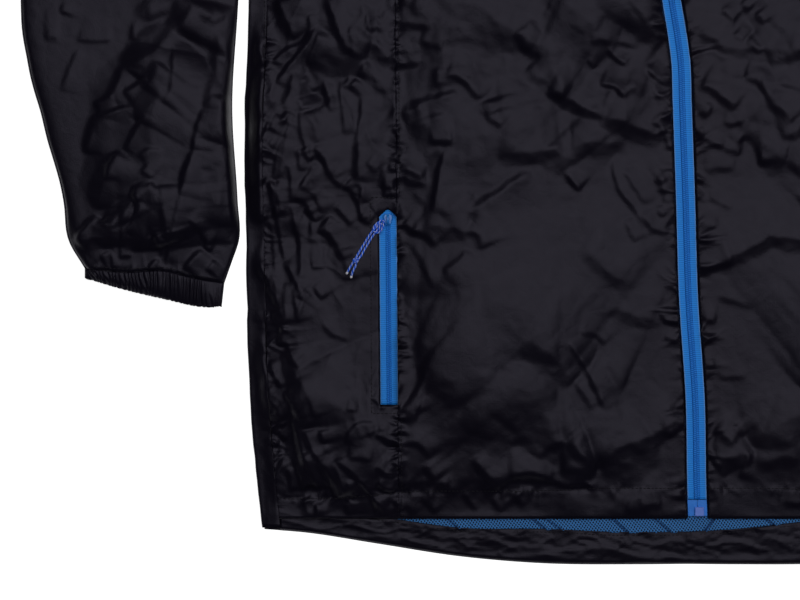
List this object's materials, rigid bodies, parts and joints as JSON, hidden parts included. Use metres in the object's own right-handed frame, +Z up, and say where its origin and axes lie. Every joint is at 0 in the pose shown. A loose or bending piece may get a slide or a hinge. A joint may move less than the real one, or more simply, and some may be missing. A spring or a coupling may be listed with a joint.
{
  "type": "rain jacket",
  "caption": "Light nylon rain jacket laid flat and zipped shut, with zipped side pockets, cord pulls, gathered cuffs and a stand collar.",
  "frame": {"origin": "on the surface it lies on, under the middle of its outline, with the pocket cords left out of that outline", "axes": "+X to the wearer's left, across both sleeves; +Y from hem to collar; +Z up from the surface"},
  "size_m": [1.0004, 0.8405, 0.0121],
  "materials": {
    "shell": "black plain-weave nylon with a soft sheen",
    "mesh": "blue knitted polyester mesh",
    "zip_tape": "blue woven polyester tape",
    "zip_coil": "blue nylon coil",
    "zip_foot": "blue stiffening film",
    "hardware": "die-cast zinc with black lacquer",
    "cord": "braided polyester cord, blue with pale flecks",
    "cord_tip": "off-white heat-set tip"
  },
  "bodies": {
    "jacket": {"back": "shell", "back_hem": "shell", "collar": "shell", "cuff_left": "shell", "cuff_right": "shell", "front_left": "shell", "front_right": "shell", "lining": "mesh", "pocket_chain_left": "zip_coil", "pocket_chain_right": "zip_coil", "pocket_slider_left": "hardware", "pocket_slider_right": "hardware", "pocket_tape_left": "zip_tape", "pocket_tape_right": "zip_tape", "pull_hitch_left": "cord", "pull_hitch_right": "cord", "pull_knot_left": "cord", "pull_knot_right": "cord", "pull_strand_left_1": "cord", "pull_strand_left_2": "cord", "pull_strand_right_1": "cord", "pull_strand_right_2": "cord", "pull_tail_left_1": "cord", "pull_tail_left_2": "cord", "pull_tail_right_1": "cord", "pull_tail_right_2": "cord", "pull_tip_left_1": "cord_tip", "pull_tip_left_2": "cord_tip", "pull_tip_right_1": "cord_tip", "pull_tip_right_2": "cord_tip", "side_left": "shell", "side_right": "shell", "sleeve_left": "shell", "sleeve_right": "shell", "zip_box": "hardware", "zip_chain": "zip_coil", "zip_foot_left": "zip_foot", "zip_foot_right": "zip_foot", "zip_slider": "hardware", "zip_stop_left": "hardware", "zip_stop_right": "hardware", "zip_tape_left": "zip_tape", "zip_tape_right": "zip_tape"},
    "pull": {"zip_pull": "hardware"}
  },
  "joints": [
    {"name": "pull_swing", "type": "hinge", "parent": "jacket", "child": "pull", "pos_m": [0, 0.33225, 0.00914], "axis": [-1, 0, 0], "range_deg": [0, 165]}
  ]
}
